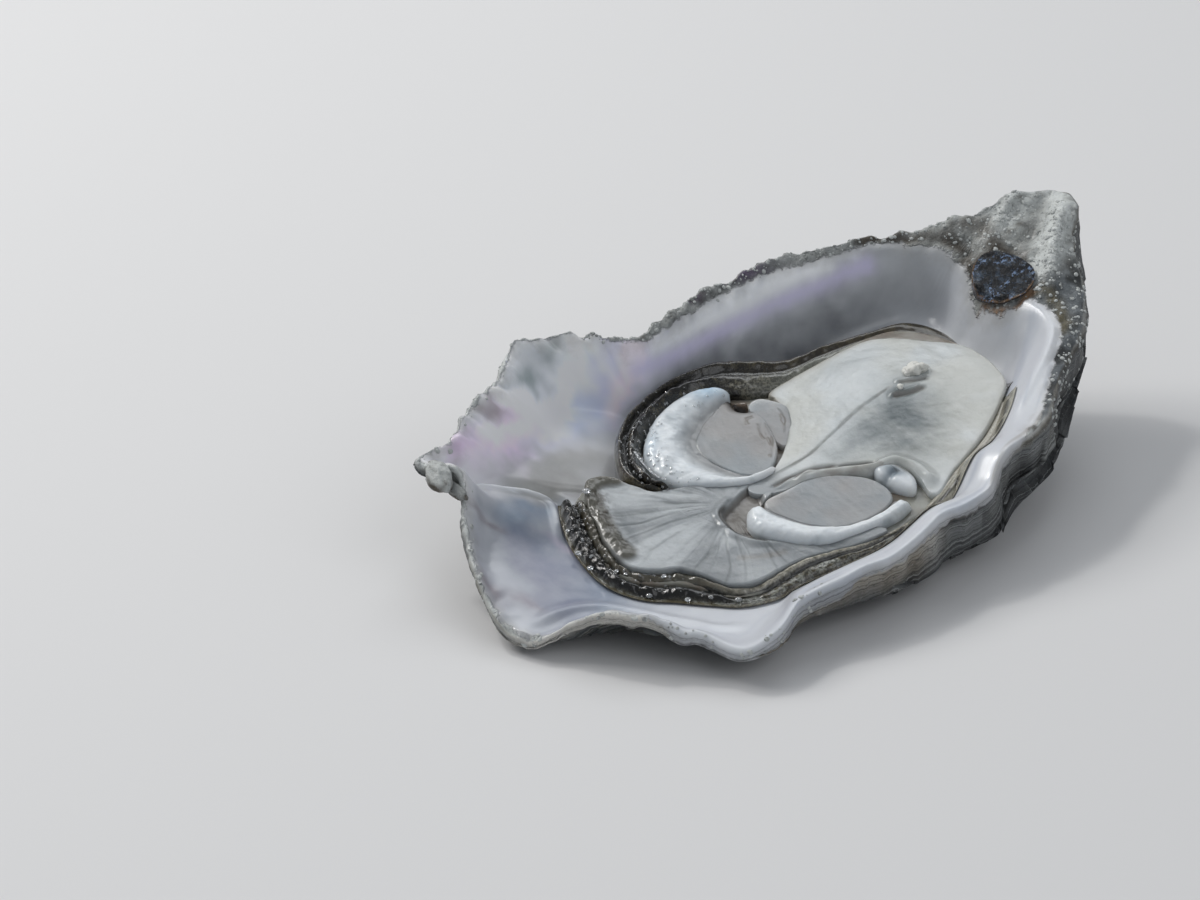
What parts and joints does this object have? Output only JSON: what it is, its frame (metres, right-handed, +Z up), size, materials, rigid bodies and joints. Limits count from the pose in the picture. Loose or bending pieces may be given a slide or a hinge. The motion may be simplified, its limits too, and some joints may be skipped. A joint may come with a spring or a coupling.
{
  "type": "oyster on the half shell",
  "caption": "Freshly opened oyster lying in its cupped lower shell, with its body, gill fan, dark mantle frills, muscles and the torn hinge ligament at the beak.",
  "frame": {"origin": "centre of the bounding box's base, on the surface the shell stands on", "axes": "+X from the broad end towards the hinge, +Y towards the back, away from the viewer, +Z up out of the cup"},
  "size_m": [0.0979, 0.0588, 0.0274],
  "materials": {
    "shell": "satin",
    "hinge_ligament": "gloss",
    "body": "gloss",
    "gill_fan": "gloss",
    "mantle": "gloss",
    "muscle": "gloss",
    "muscle_band": "gloss"
  },
  "bodies": {
    "root": {"shell": "shell", "hinge_ligament": "hinge_ligament", "body": "body", "gill_fan": "gill_fan", "mantle_back": "mantle", "mantle_front": "mantle", "muscle_back": "muscle", "muscle_back_flap": "muscle", "muscle_back_band": "muscle_band", "muscle_front": "muscle", "muscle_front_band": "muscle_band", "muscle_front_nub": "muscle_band"}
  },
  "joints": []
}
